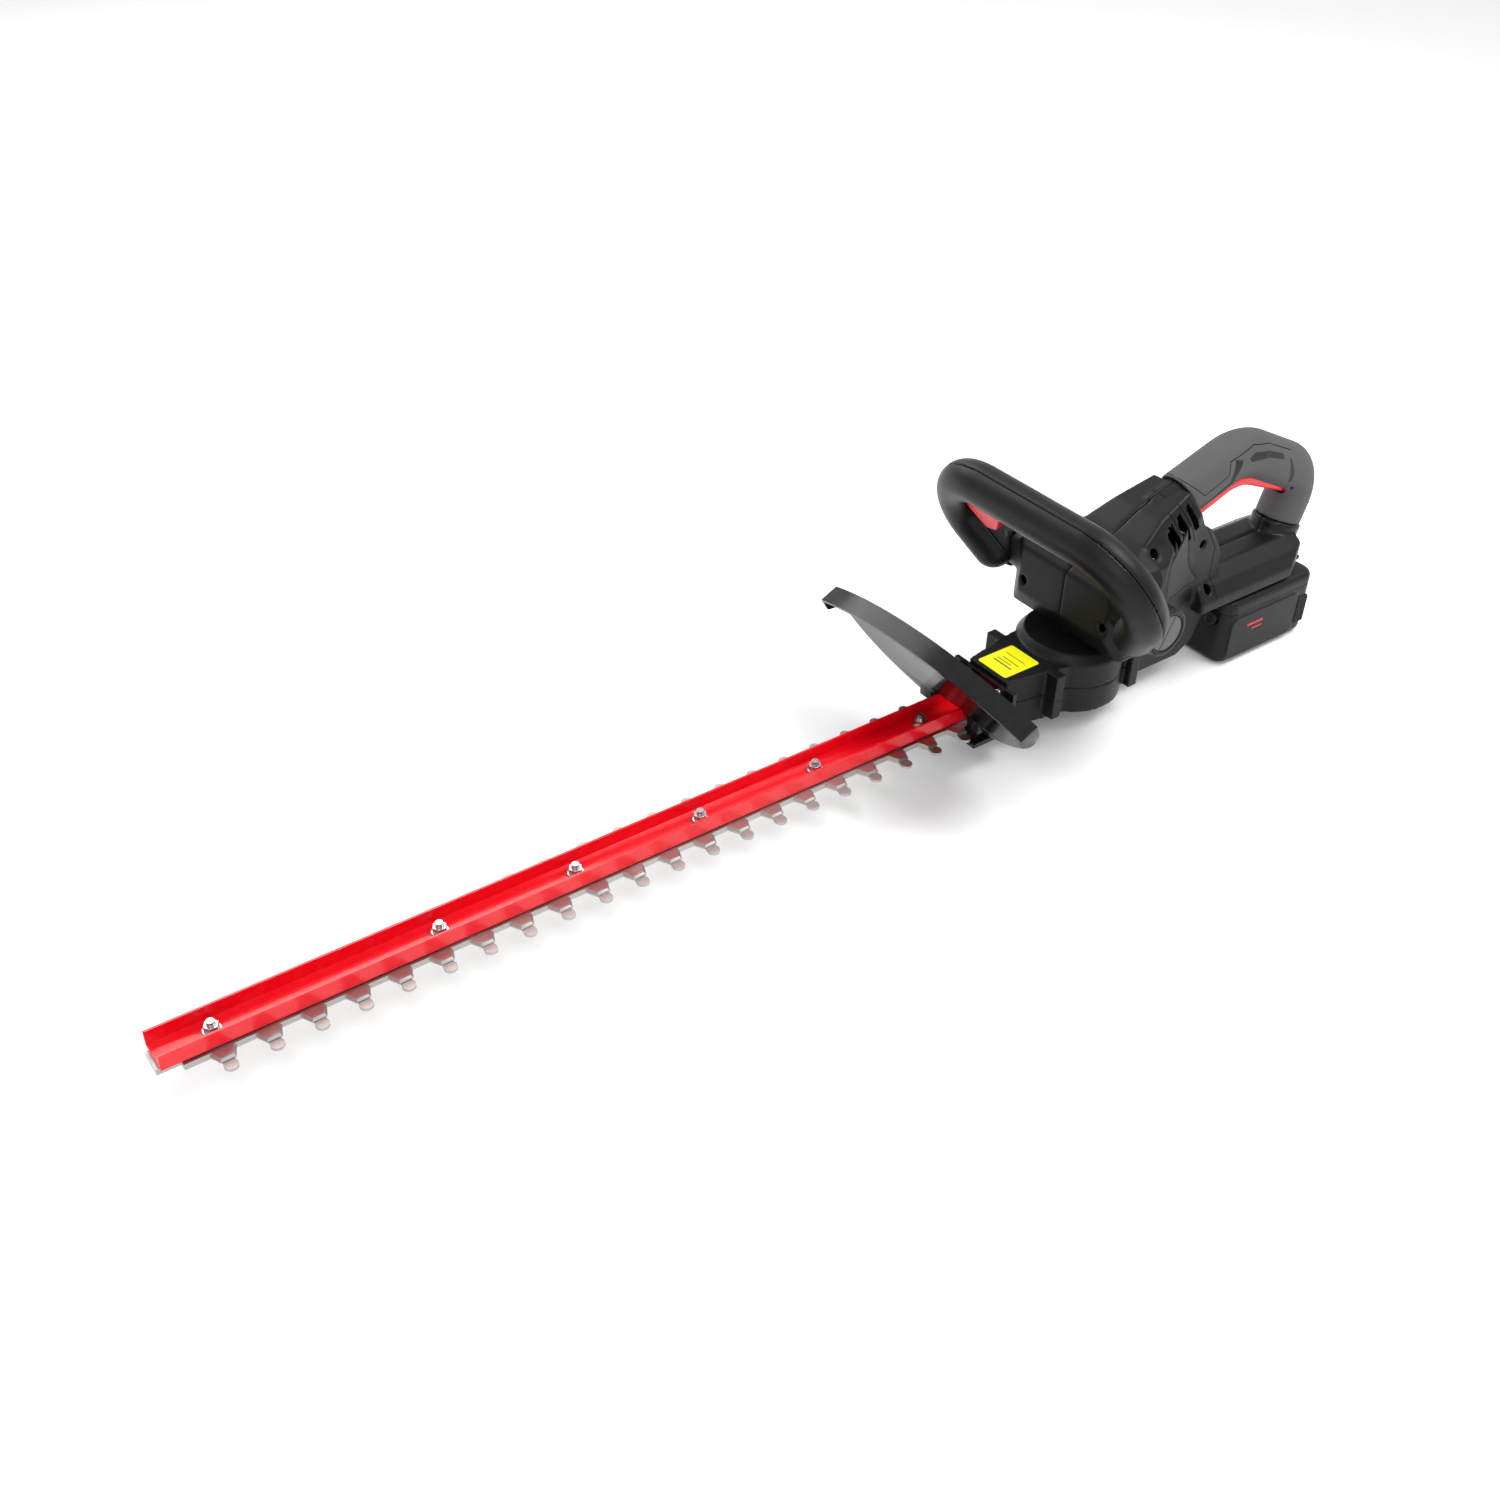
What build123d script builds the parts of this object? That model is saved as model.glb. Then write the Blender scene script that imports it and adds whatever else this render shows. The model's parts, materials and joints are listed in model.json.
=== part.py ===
from build123d import *
from math import pi, sin, cos, radians, acos, tan
import os

# Cordless hedge trimmer, millimetres. While it is modelled, X = 0 and Y = 0 are on the drive
# gear's axis, Z = 0 is the face where the two blades slide on each other, +X points to the
# blade tip and +Y to the operator's left. place() moves each finished part so that the origin
# is under the middle of the whole trimmer, on the plane of the battery's underside.

# Driving dimensions
tooth_pitch = 27.0
teeth_per_side = 21
blade_tip = 700.0            # end of the blades
tooth_tip_x = 664.0          # left tooth nearest the tip
tooth_reach = 29.2           # long tooth tip from the centre line
blade_thickness = 2.0
bar_half = 13.5
blade_gap = 0.05             # half the running gap between the blades
blade_travel = 6.0           # each way from mid stroke, also the eccentric's throw
overall_rear = -246.0        # back of the rear grip
underside = -31.0            # battery underside
wall = 3.0
drum_radius = 41.0
drum_top = 33.0
housing_bottom = -14.0
seam_height = 7.0
nose_front = 83.0
nose_top = 27.0
gear_module = 1.0
gear_teeth = 54
pinion_teeth = 12
motor_x = -gear_module * (gear_teeth + pinion_teeth) / 2
battery_front = -133.0
battery_rear = -235.0
battery_half = 38.0
battery_top = 25.0
shift_x = -(blade_tip + overall_rear) / 2
shift_z = -underside

parts = {}


def block(x0, x1, y0, y1, z0, z1):
    """A box between two corners."""
    centre = Pos((x0 + x1) / 2, (y0 + y1) / 2, (z0 + z1) / 2)
    return centre * Box(abs(x1 - x0), abs(y1 - y0), abs(z1 - z0))


def rod_z(x, y, radius, z0, z1):
    return Pos(x, y, (z0 + z1) / 2) * Cylinder(radius, z1 - z0)


def rod_y(x, z, radius, y0, y1):
    return Pos(x, (y0 + y1) / 2, z) * Rot(90, 0, 0) * Cylinder(radius, abs(y1 - y0))


def rod_x(y, z, radius, x0, x1):
    return Pos((x0 + x1) / 2, y, z) * Rot(0, 90, 0) * Cylinder(radius, abs(x1 - x0))


def plan(points, z0, z1, inset=0.0):
    """An outline in X and Y, drawn in by inset, standing from z0 to z1."""
    face = make_face(Polyline(*points, close=True))
    if inset:
        face = offset(face, -inset)
    return Pos(0, 0, z0) * extrude(face, z1 - z0, dir=(0, 0, 1))


def side(points, half_width, inset=0.0):
    """An outline in X and Z, drawn in by inset, reaching half_width each side of Y = 0."""
    face = make_face(Polyline(*[(x, 0, z) for x, z in points], close=True))
    if inset:
        face = offset(face, -inset)
    return extrude(face, half_width - inset, dir=(0, 1, 0), both=True)


def mirrored(points):
    """Close an outline given for +Y only."""
    return points + [(x, -y) for x, y in reversed(points)]


def left_right(solid):
    return [solid, mirror(solid, Plane.XZ)]


def keep(name, *solids):
    """Store one part, made of one or more separate solids."""
    parts[name] = list(solids)


# ---------------------------------------------------------------- cutting bar

nut_x = [tooth_tip_x] + [tooth_tip_x - 5.25 * tooth_pitch - 3.5 * tooth_pitch * i for i in range(5)]
channel_half = 11.8
channel_floor = 3.2
channel_sheet = 1.5
channel_top = 14.0
channel_rear = 56.0
bush_radius = 4.0
slot_half = 4.3
yoke_radius = 31.0
eccentric_radius = 8.0


def tooth_outline(points, x, side_sign):
    """A tooth outline given for the right half, mirrored about its own centre line."""
    half = [(dx, y) for dx, y in points]
    full = half + [(-dx, y) for dx, y in reversed(half)]
    return [(x + dx, side_sign * y) for dx, y in full]


def short_tooth(x, side_sign, z0):
    """A tooth with a flat foot and both flanks ground to a bevel above it."""
    foot_points = [(8.6, 11.0), (7.6, 14.5), (4.6, 22.0)]
    crown_points = [(7.4, 11.0), (6.3, 14.2), (3.4, 20.7)]
    foot_face = make_face(Polyline(*tooth_outline(foot_points, x, side_sign), close=True)).faces()[0]
    crown_face = make_face(Polyline(*tooth_outline(crown_points, x, side_sign), close=True)).faces()[0]
    foot = Pos(0, 0, z0) * extrude(foot_face, 0.6, dir=(0, 0, 1))
    sections = [Pos(0, 0, z0 + 0.6) * foot_face, Pos(0, 0, z0 + blade_thickness) * crown_face]
    crown = loft(sections, ruled=True)
    return foot + crown


def long_tooth(x, side_sign, z0):
    points = [(8.0, 11.0), (6.8, 14.5), (3.3, 20.5), (4.1, 25.2)]
    shank = make_face(Polyline(*tooth_outline(points, x, side_sign), close=True))
    tip_radius = 4.15
    tip = Pos(x, side_sign * (tooth_reach - tip_radius), 0) * Circle(tip_radius)
    return Pos(0, 0, z0) * extrude(shank + tip, blade_thickness, dir=(0, 0, 1))


def blade(make_tooth, z0):
    z1 = z0 + blade_thickness
    bar = block(24, blade_tip, -bar_half, bar_half, z0, z1)
    bar -= block(blade_tip - 14, blade_tip, bar_half - 5, bar_half, z0, z1)
    bar -= block(blade_tip - 14, blade_tip, -bar_half, 5 - bar_half, z0, z1)
    teeth = []
    for i in range(teeth_per_side):
        teeth.append(make_tooth(tooth_tip_x - tooth_pitch * i, 1, z0))
        teeth.append(make_tooth(tooth_tip_x - tooth_pitch * (i - 0.5), -1, z0))
    solid = bar + teeth + rod_z(0, 0, yoke_radius, z0, z1)
    window_x = eccentric_radius + 2 * blade_travel + 0.5
    window_y = eccentric_radius + blade_travel + 0.5
    solid -= block(-window_x, window_x, -window_y, window_y, z0, z1)
    reach = bush_radius + blade_travel + 0.4
    for x in nut_x:
        slot = block(x - reach + slot_half, x + reach - slot_half, -slot_half, slot_half, z0, z1)
        slot += rod_z(x - reach + slot_half, 0, slot_half, z0, z1)
        slot += rod_z(x + reach - slot_half, 0, slot_half, z0, z1)
        solid -= slot
    for x in (90.0, 190.0, 285.0, 380.0, 475.0, 570.0, 615.0):
        solid -= rod_z(x, 0, 2.5, z0, z1)
    return solid


keep("upper_blade", blade(short_tooth, blade_gap))
keep("lower_blade", blade(long_tooth, -blade_gap - blade_thickness))

channel = block(channel_rear, blade_tip - 2, -channel_half, channel_half, channel_floor, channel_top)
channel -= block(channel_rear, blade_tip - 2, channel_sheet - channel_half, channel_half - channel_sheet,
                 channel_floor + channel_sheet, channel_top)
for bolt_x in nut_x:
    channel -= rod_z(bolt_x, 0, 2.65, channel_floor, channel_top)
keep("guide_channel", channel)

floor_top = channel_floor + channel_sheet
bolts, nuts, bushes = [], [], []
for bolt_x in nut_x:
    bolt = rod_z(bolt_x, 0, 2.5, -4.2, 12.4)
    bolt += rod_z(bolt_x, 0, 6.6, -4.2, -3.2)
    bolt += Pos(bolt_x, 0, -5.6) * extrude(RegularPolygon(4.4, 6), 1.6, dir=(0, 0, 1))
    bolts.append(bolt)
    bush = rod_z(bolt_x, 0, bush_radius, -3.2, channel_floor) - rod_z(bolt_x, 0, 2.65, -3.2, channel_floor)
    bushes.append(bush)
    nut = Pos(bolt_x, 0, floor_top) * extrude(RegularPolygon(4.6, 6), 4.8, dir=(0, 0, 1))
    nut += rod_z(bolt_x, 0, 5.6, floor_top, floor_top + 1.1)
    nuts.append(nut - rod_z(bolt_x, 0, 2.55, floor_top, floor_top + 5))
keep("blade_bolts", *bolts)
keep("blade_nuts", *nuts)
keep("blade_bushes", *bushes)

# ---------------------------------------------------------------- gearbox

nose_plan = mirrored([(nose_front, 19.5), (44.0, 27.0), (20.0, 30.0), (0.0, 30.0)])
tail_plan = mirrored([(0.0, 21.0), (-58.0, 21.0)])
rib_spots = [(46.0, 8.0, 25.5, 37.0, 28.0), (-31.0, 9.0, 22.0, 39.0, 27.0)]
gearbox_screw_spots = [(58.0, 18.6), (12.0, 35.0), (-52.0, 15.0)]
shaft_radius = 5.0
bearing_radius = 11.0


def drum(radius, z0, z1, top_radius, shoulder):
    """A round housing whose top edge slopes in from the shoulder height to top_radius."""
    outline = Polyline((0, 0, z0), (radius, 0, z0), (radius, 0, shoulder), (top_radius, 0, z1), (0, 0, z1),
                       close=True)
    return revolve(make_face(outline), Axis.Z)


def disc(radius, z0, z1):
    return rod_z(0, 0, radius, z0, z1)


upper = drum(drum_radius, seam_height, drum_top, 35.5, drum_top - 7)
upper += plan(nose_plan, seam_height, nose_top)
upper += plan(tail_plan, seam_height, drum_top - 4)
upper -= Pos(0, 0, drum_top + 1) * Cone(6, 33, 2.6)
upper -= drum(drum_radius - wall, seam_height, drum_top - wall - 1, 33.0, drum_top - 10)
upper -= plan(nose_plan, seam_height, nose_top - wall, wall)
upper -= plan(tail_plan, seam_height, drum_top - 4 - wall, wall)
upper += rod_z(0, 0, bearing_radius + 3, 15.0, drum_top - wall)
upper -= rod_z(0, 0, bearing_radius, 14.0, 22.0)
upper -= rod_z(0, 0, shaft_radius + 1, 14.0, 25.0)
upper -= rod_z(motor_x, 0, 5.0, 0.0, drum_top + 2)

lower = disc(drum_radius, housing_bottom, seam_height)
lower += plan(nose_plan, housing_bottom, seam_height)
lower += plan(tail_plan, housing_bottom, seam_height)
lower -= rod_z(0, 0, drum_radius - wall, housing_bottom + wall, seam_height)
lower -= plan(nose_plan, housing_bottom + wall, seam_height, wall)
lower -= plan(tail_plan, housing_bottom + wall, seam_height, wall)
lower += rod_z(0, 0, bearing_radius + 3, housing_bottom + 1, -5.0)
lower -= rod_z(0, 0, bearing_radius, housing_bottom + wall, -4.0)

for rib_x, rib_length, rib_in, rib_out, rib_top in rib_spots:
    rib = block(rib_x - rib_length / 2, rib_x + rib_length / 2, rib_in, rib_out, -8.0, rib_top)
    rib -= disc(drum_radius - 1.5, -20.0, 40.0)
    for one in left_right(rib):
        upper += one & block(-60, 90, -60, 60, seam_height, 60)
        lower += one & block(-60, 90, -60, 60, -20, seam_height)

blade_mouth = block(nose_front - 6, nose_front + 1, -14.6, 14.6, -6.5, 15.0)
upper -= blade_mouth
lower -= blade_mouth
gearbox_screws = []
for screw_x, screw_y in gearbox_screw_spots:
    for y in (screw_y, -screw_y):
        pillar = rod_z(screw_x, y, 3.6, housing_bottom + 1, seam_height)
        lower = (lower + pillar) - rod_z(screw_x, y, 1.75, housing_bottom, seam_height)
        lower -= rod_z(screw_x, y, 3.1, housing_bottom, housing_bottom + 2.6)
        upper += rod_z(screw_x, y, 3.4, seam_height, nose_top - 2)
        upper -= rod_z(screw_x, y, 1.55, seam_height, seam_height + 12)
        screw = rod_z(screw_x, y, 1.5, housing_bottom + 2.5, seam_height + 10)
        screw += rod_z(screw_x, y, 2.9, housing_bottom + 0.4, housing_bottom + 2.6)
        screw -= rod_z(screw_x, y, 1.2, housing_bottom + 0.4, housing_bottom + 1.6)
        gearbox_screws.append(screw)
keep("gearbox_upper_housing", upper)
keep("gearbox_lower_housing", lower)
keep("gearbox_screws", *gearbox_screws)

label_x = 63.0
label = Pos(label_x, 0, nose_top + 0.02) * extrude(RectangleRounded(34, 29, 2), 0.3, dir=(0, 0, 1))
keep("blank_label", label)

seal = block(nose_front - 12, nose_front - 9, -15.2, 15.2, -6.4, 15.4)
seal -= block(nose_front - 13, nose_front, -13.9, 13.9, -2.4, 14.3)
keep("blade_seal", seal)


def gear(teeth, width, tip, root, backlash):
    """A spur gear face with involute flanks, first tooth on +X."""
    pitch_r = gear_module * teeth / 2
    base_r = pitch_r * cos(radians(20))
    outer_r = pitch_r + tip
    inner_r = pitch_r - root
    half_tooth = (pi * gear_module / 2 - backlash) / 2 / pitch_r
    inv = lambda r: tan(acos(base_r / r)) - acos(base_r / r)
    start_r = max(base_r, inner_r) + 0.02
    radii = [start_r + (outer_r - start_r) * i / 4 for i in range(5)]
    flank = [(r, half_tooth + inv(pitch_r) - inv(r)) for r in radii]
    outline = []
    for i in range(teeth):
        middle = 2 * pi * i / teeth
        outline.append((inner_r, middle - flank[0][1] - 0.01))
        outline += [(r, middle - a) for r, a in flank]
        outline += [(r, middle + a) for r, a in reversed(flank)]
        outline.append((inner_r, middle + flank[0][1] + 0.01))
    points = [(r * cos(a), r * sin(a)) for r, a in outline]
    return extrude(make_face(Polyline(*points, close=True)), width, dir=(0, 0, 1))


gear_bottom = 4.2
gear_width = 8.0
wheel = Pos(0, 0, gear_bottom) * gear(gear_teeth, gear_width, 0.85, 1.3, 0.24)
wheel -= rod_z(0, 0, 22, gear_bottom + gear_width - 2, gear_bottom + gear_width)
wheel += rod_z(0, 0, 9, gear_bottom, gear_bottom + gear_width)
wheel += rod_z(0, blade_travel, eccentric_radius, 0.0, gear_bottom)
wheel += rod_z(0, -blade_travel, eccentric_radius, -2.6, 0.0)
for i in range(6):
    wheel -= Rot(0, 0, 60 * i + 30) * rod_z(17, 0, 3.4, gear_bottom, gear_bottom + gear_width)
wheel -= rod_z(0, 0, shaft_radius + 0.01, -3, gear_bottom + gear_width)
keep("drive_gear", wheel)
keep("gear_shaft", rod_z(0, 0, shaft_radius, housing_bottom + wall + 0.2, 23.0))


def bearing(x, bore, outer, z0, z1):
    """A plain ball bearing drawn as one ring with recessed shields."""
    ring = rod_z(x, 0, outer, z0, z1) - rod_z(x, 0, bore, z0, z1)
    for z in (z0, z1 - 0.6):
        ring -= rod_z(x, 0, outer - 1.6, z, z + 0.6) - rod_z(x, 0, bore + 1.4, z, z + 0.6)
    return ring


running_gap = 0.04
keep("lower_shaft_bearing",
     bearing(0, shaft_radius + running_gap, bearing_radius, housing_bottom + wall, -4.6))
keep("upper_shaft_bearing", bearing(0, shaft_radius + running_gap, bearing_radius, 15.2, 22.0))

pinion_angle = 180.0 / pinion_teeth
pinion_place = Pos(motor_x, 0, gear_bottom - 0.6) * Rot(0, 0, pinion_angle)
pinion = pinion_place * gear(pinion_teeth, 9.2, 0.85, 1.3, 0.24)
pinion -= rod_z(motor_x, 0, 2.51, 0, 20)
keep("motor_pinion", pinion)

motor_bottom = drum_top + 0.3
motor_top = 88.0
motor_radius = 19.0
can = rod_z(motor_x, 0, motor_radius, motor_bottom, motor_top)
can -= rod_z(motor_x, 0, motor_radius - 1.6, motor_bottom + 3, motor_top - 3)
can -= rod_z(motor_x, 0, 5.0, motor_bottom, motor_top)
for i in range(4):
    can -= Pos(motor_x, 0, motor_bottom + 10) * Rot(0, 0, 45 + 90 * i) * block(15, 22, -4, 4, -3, 3)
keep("motor_can", can)
keep("motor_magnets", *[(rod_z(motor_x, 0, motor_radius - 1.7, 46, 78) - rod_z(motor_x, 0, 14.0, 46, 78))
                        & block(motor_x - 12, motor_x + 12, *span, 46, 78) for span in ((2, 20), (-20, -2))])
rotor = rod_z(motor_x, 0, 2.5, gear_bottom - 0.6, motor_top - 0.5) + rod_z(motor_x, 0, 13.4, 48, 76)
rotor += rod_z(motor_x, 0, 6.5, 77.5, 83)
for i in range(5):
    rotor -= Pos(motor_x, 0, 0) * Rot(0, 0, 72 * i) * block(8.5, 14, -1.6, 1.6, 48, 76)
keep("motor_rotor", rotor)
keep("motor_bearings", bearing(motor_x, 2.5 + running_gap, 5.0, motor_bottom, motor_bottom + 3),
     bearing(motor_x, 2.5 + running_gap, 5.0, motor_top - 3, motor_top))

# ---------------------------------------------------------------- hand guard

guard_base_x = 112.0         # where the plate would meet Z = 0
guard_lean = 27.0            # degrees forward
guard_half = 105.0
guard_plate = 3.0
guard_rim = 12.0
guard_plane = Plane(origin=(guard_base_x, 0, 0), x_dir=(0, 1, 0),
                    z_dir=(cos(radians(guard_lean)), 0, -sin(radians(guard_lean))))
# on this plane x is the trimmer's Y, y runs up the leaning plate and z faces the blade tip


def guard_outline(inset):
    """Shield: a long shallow arch above, a deeper curve below, blunt corners."""
    half = guard_half - inset
    corner, arch = 70 - inset / 2, 91 - inset
    over = ThreePointArc((-half, corner), (0, arch), (half, corner))
    left = Line((half, corner), (half - 2, 58))
    under = Spline((half - 2, 58), (74, 22), (36, 4), (0, -4),
                   (-36, 4), (-74, 22), (2 - half, 58))
    right = Line((2 - half, 58), (-half, corner))
    return make_face([over, left, under, right])


def on_guard(face, start, height):
    """Stand an outline on the leaning plane, from start to start + height along its normal."""
    solid = extrude(face, height, dir=(0, 0, 1))
    return guard_plane * (Pos(0, 0, start) * solid)


guard = on_guard(guard_outline(0), -guard_plate, guard_plate)
rim = on_guard(guard_outline(0), 0, guard_rim) - on_guard(guard_outline(2.6), 0, guard_rim)
guard += rim & block(60, 220, -130, 130, 49, 120)
cheek = block(nose_front + 0.3, guard_base_x + 6, 19.5, 31, -8.5, 18)
guard += side([(nose_front + 0.3, -14), (nose_front + 0.3, -8), (guard_base_x + 8, -8)], 26)
guard += block(nose_front + 0.3, guard_base_x + 8, -31, 31, -8.5, -5.6)
guard += block(nose_front + 0.3, nose_front + 3.6, -31, 31, -8.5, 24)
for one in left_right(cheek):
    guard += one
guard -= block(nose_front, guard_base_x + 60, -15.2, 15.2, -5.6, 15.2)
guard -= block(nose_front + 3.6, guard_base_x + 60, -32, 32, -5.0, -0.3)
guard -= block(105, guard_base_x + 60, -32.5, 32.5, -3.2, 3.2)
guard_screws = []
for y in (17.0, -17.0):
    z = 19.0
    guard -= rod_x(y, z, 1.8, nose_front - 5, nose_front + 4)
    guard -= rod_x(y, z, 3.2, nose_front + 3.6, nose_front + 8)
    parts["gearbox_upper_housing"][0] -= rod_x(y, z, 1.55, nose_front - 12, nose_front)
    screw = rod_x(y, z, 1.5, nose_front - 10, nose_front + 3.7)
    screw += rod_x(y, z, 3.0, nose_front + 3.6, nose_front + 6)
    guard_screws.append(screw - rod_x(y, z, 1.2, nose_front + 4.8, nose_front + 6))
keep("hand_guard", guard)
keep("guard_screws", *guard_screws)


# ---------------------------------------------------------------- body and rear handle

body_side = [(17, 50), (17, 86), (6, 95), (-30, 106), (-50, 117), (-83.5, 128.5), (-98.5, 100.5), (-111, 92),
             (-126, 70), (-126, 52), (-106, 40), (-106, 35.2), (10, 35.2)]
body_plan = mirrored([(17, 44), (8, 56), (-22, 56), (-44, 42), (-60, 32), (-92, 26), (-126, 24)])
block_side = [(-42, 36), (-42, -14), (-96, -14), (-112, -4), (-119, 14), (-119, 36)]
block_half = 24.0
mount_profile = [(36.5, 27.0), (36.5, 36.0), (30.0, 46.0), (18.0, 54.0)]
mount_plan = mirrored([(-100, 36.5), (-203, 36.5), (-222, 26)])
handle_points = [(-66, 107), (-154, 136), (-233, 97), (-213, 34)]
handle_bends = [46, 27]
grip_depth, grip_width = 19.0, 17.6
core_depth, core_width = 16.2, 14.8


def ring_profile(points, x0, x1, inset=0.0):
    """An outline in Y and Z, symmetric about Y = 0, drawn in by inset, from x0 to x1."""
    whole = [(0, y, z) for y, z in points] + [(0, -y, z) for y, z in reversed(points)]
    face = make_face(Polyline(*whole, close=True))
    if inset:
        face = offset(face, -inset)
    return Pos(x0, 0, 0) * extrude(face, x1 - x0, dir=(1, 0, 0))


def handle_tube(depth, width):
    """The bent bar of the rear handle, an oval swept along straight runs and arcs."""
    path = FilletPolyline(*[(x, 0, z) for x, z in handle_points], radius=handle_bends)
    start = Plane(origin=path @ 0, x_dir=(0, 1, 0), z_dir=path % 0)
    return sweep(start * Ellipse(width, depth), path=path)


def rise_of(inset):
    return ring_profile([(56, 35.2), (56, 84), (46, 97), (24, 106), (20, 140)], -130, 30, inset)


def body_form(inset):
    """The whole body, handle and battery mount as one form; inset gives the hollow inside it."""
    upper_body = side(body_side, 60, inset) & plan(body_plan, 20, 150, inset)
    front_part = upper_body & rise_of(inset) & block(-30, 30, -70, 70, 0, 200)
    rear_part = upper_body & ring_profile([(42, 35.2), (42, 92), (30, 104), (14, 136)], -140, -30, inset)
    lower_block = side(block_side, block_half, inset)
    mount = ring_profile(mount_profile, -222 + inset, -100, inset) & plan(mount_plan, 20, 60, inset)
    handle = handle_tube(core_depth - inset, core_width - inset)
    handle -= block(-60, 0, -30, 30, 60, 160)
    return front_part + rear_part + lower_block + mount + handle


boss_x, boss_z = 1.0, 74.5
boss_radius = 15.5
outer_form = body_form(0.0)
for one in left_right(rod_y(boss_x, boss_z, boss_radius, 40, 61.5)):
    outer_form += one
for depth in (0.0, 7.0):
    foot_dir = Vector(handle_points[3][0] - handle_points[2][0], 0, handle_points[3][1] - handle_points[2][1])
    foot_dir = foot_dir.normalized()
    centre = Vector(handle_points[3][0], 0, handle_points[3][1]) - foot_dir * (19 + depth)
    collar = Plane(origin=centre, x_dir=(0, 1, 0), z_dir=foot_dir) * extrude(Ellipse(19, 20.4), 5.0)
    outer_form += collar
inner_form = body_form(wall)
shell = outer_form - inner_form

# clearances through the walls
socket_space = block(-206, -111, -34.4, 34.4, 20, 37.4)
socket_space += block(-260, -119, -34.4, 34.4, 20, 29.0)
socket_space += block(-260, -200, -27, 27, 20, 36.0)
shell -= socket_space
shell -= rod_z(motor_x, 0, motor_radius + 1.0, 30, 60)
shell -= plan(tail_plan, housing_bottom - 1, drum_top - 3.4, -0.5) & block(-58.6, 0, -30, 30, -15, 40)
shell -= block(-50, 0, -30, 30, housing_bottom - 1, 35.3) & disc(drum_radius + 0.6, -20, 40)

sleeve = handle_tube(grip_depth, grip_width) - handle_tube(core_depth + 0.03, core_width + 0.03)
sleeve -= side([(-40, 170), (-63.6, 170), (-106.2, 90), (-40, 90)], 40)
sleeve -= side([(-180, 0), (-180, 72.6), (-262, 46.6), (-262, 0)], 40)

# rear trigger: a curved bar under the grip, hinged at its rear end
trigger_points = [(-103, 95.0), (-155, 114.0), (-214, 89.5)]
trigger_pin_x, trigger_pin_z = -212.0, 93.0


def trigger_bar(width, height):
    path = FilletPolyline(*[(x, 0, z) for x, z in trigger_points], radius=42)
    start = Plane(origin=path @ 0, x_dir=(0, 1, 0), z_dir=path % 0)
    return sweep(start * RectangleRounded(width, height, min(width, height) * 0.3), path=path)


pin_radius = 2.0
trigger = trigger_bar(14.0, 8.2) + rod_y(trigger_pin_x, trigger_pin_z, 4.6, -6.8, 6.8)
trigger -= rod_y(trigger_pin_x, trigger_pin_z, pin_radius + 0.05, -20, 20)
trigger &= block(-230, -105.4, -10, 10, 60, 130)
swept_space = trigger_bar(16.6, 10.6) + block(-218, -205, -8.3, 8.3, 87, 101)
for step in (1.5, 3.0, 4.5):
    turn = Pos(trigger_pin_x, 0, trigger_pin_z) * Rot(0, -step, 0) * Pos(-trigger_pin_x, 0, -trigger_pin_z)
    swept_space += turn * trigger_bar(16.6, 10.6)
swept_space += rod_y(trigger_pin_x, trigger_pin_z, 5.6, -8.3, 8.3)
pin_hole = rod_y(trigger_pin_x, trigger_pin_z, pin_radius + 0.02, -30, 30)
shell = shell - swept_space - pin_hole
sleeve = sleeve - swept_space - rod_y(trigger_pin_x, trigger_pin_z, pin_radius + 0.02, -13.5, 13.5)
keep("trigger_pin", rod_y(trigger_pin_x, trigger_pin_z, pin_radius, -11.5, 11.5))
keep("rear_trigger", trigger)

# vents, side cover seats and screw seats
for i in range(3):
    slot = Pos(-58 - 12 * i, 0, 100 + 5.5 * i) * Rot(0, 18, 0) * block(-1.8, 1.8, 0, 60, -8.5, 8.5)
    for one in left_right(slot):
        shell -= one
cover_points = [(-74, 107), (-47, 66), (-63, 50), (-101, 53), (-84, 74)]
cover_seat = side(cover_points, 60) - block(-200, 50, -21, 21, 0, 200)
cover_sides = left_right(cover_seat & block(-120, -40, 21, 60, 40, 120))
cover_depth = 1.6
under_cover = body_form(cover_depth)
cover_solids = [(outer_form & one) - under_cover for one in cover_sides]
for c in cover_solids:
    shell -= c
trim = side(cover_points, 60, 0.25)
cover_solids = [c & trim for c in cover_solids]

shell_screw_spots = [(-36, 100), (-100, 84), (-84, 62), (-110, 44), (-92, 0)]
half_space = block(-300, 60, 0, 120, -60, 200)
left_shell = shell & half_space
right_shell = shell - half_space
body_screws = []
for x, z in shell_screw_spots:
    left_shell += rod_y(x, z, 4.0, 0, 15)
    left_shell -= rod_y(x, z, 1.7, 0, 60)
    seat = 12.0
    left_shell -= rod_y(x, z, 3.2, seat, 60)
    right_shell += rod_y(x, z, 4.0, -15, 0)
    right_shell -= rod_y(x, z, 1.55, -14, 0)
    screw = rod_y(x, z, 1.5, -12, seat) + rod_y(x, z, 3.0, seat, seat + 2.2)
    body_screws.append(screw - rod_y(x, z, 1.2, seat + 1, seat + 2.2))


def largest(shape):
    """Drop any crumbs that a cut leaves loose."""
    return max(shape.solids(), key=lambda s: s.volume)


for side_sign, half in ((1, left_shell), (-1, right_shell)):
    hole = rod_x(side_sign * 40, 60, 1.6, 8, 20)
    half -= hole
    half -= rod_x(side_sign * 40, 60, 4.0, 14.5, 20)
    half -= rod_y(boss_x, boss_z, 2.0, side_sign * 66, side_sign * 48)
    keep("body_left_shell" if side_sign > 0 else "body_right_shell", largest(half))
keep("left_side_cover", largest(cover_solids[0]))
keep("right_side_cover", largest(cover_solids[1]))
keep("body_screws", *body_screws)
keep("rear_grip", largest(sleeve))

# ---------------------------------------------------------------- loop handle

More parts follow.
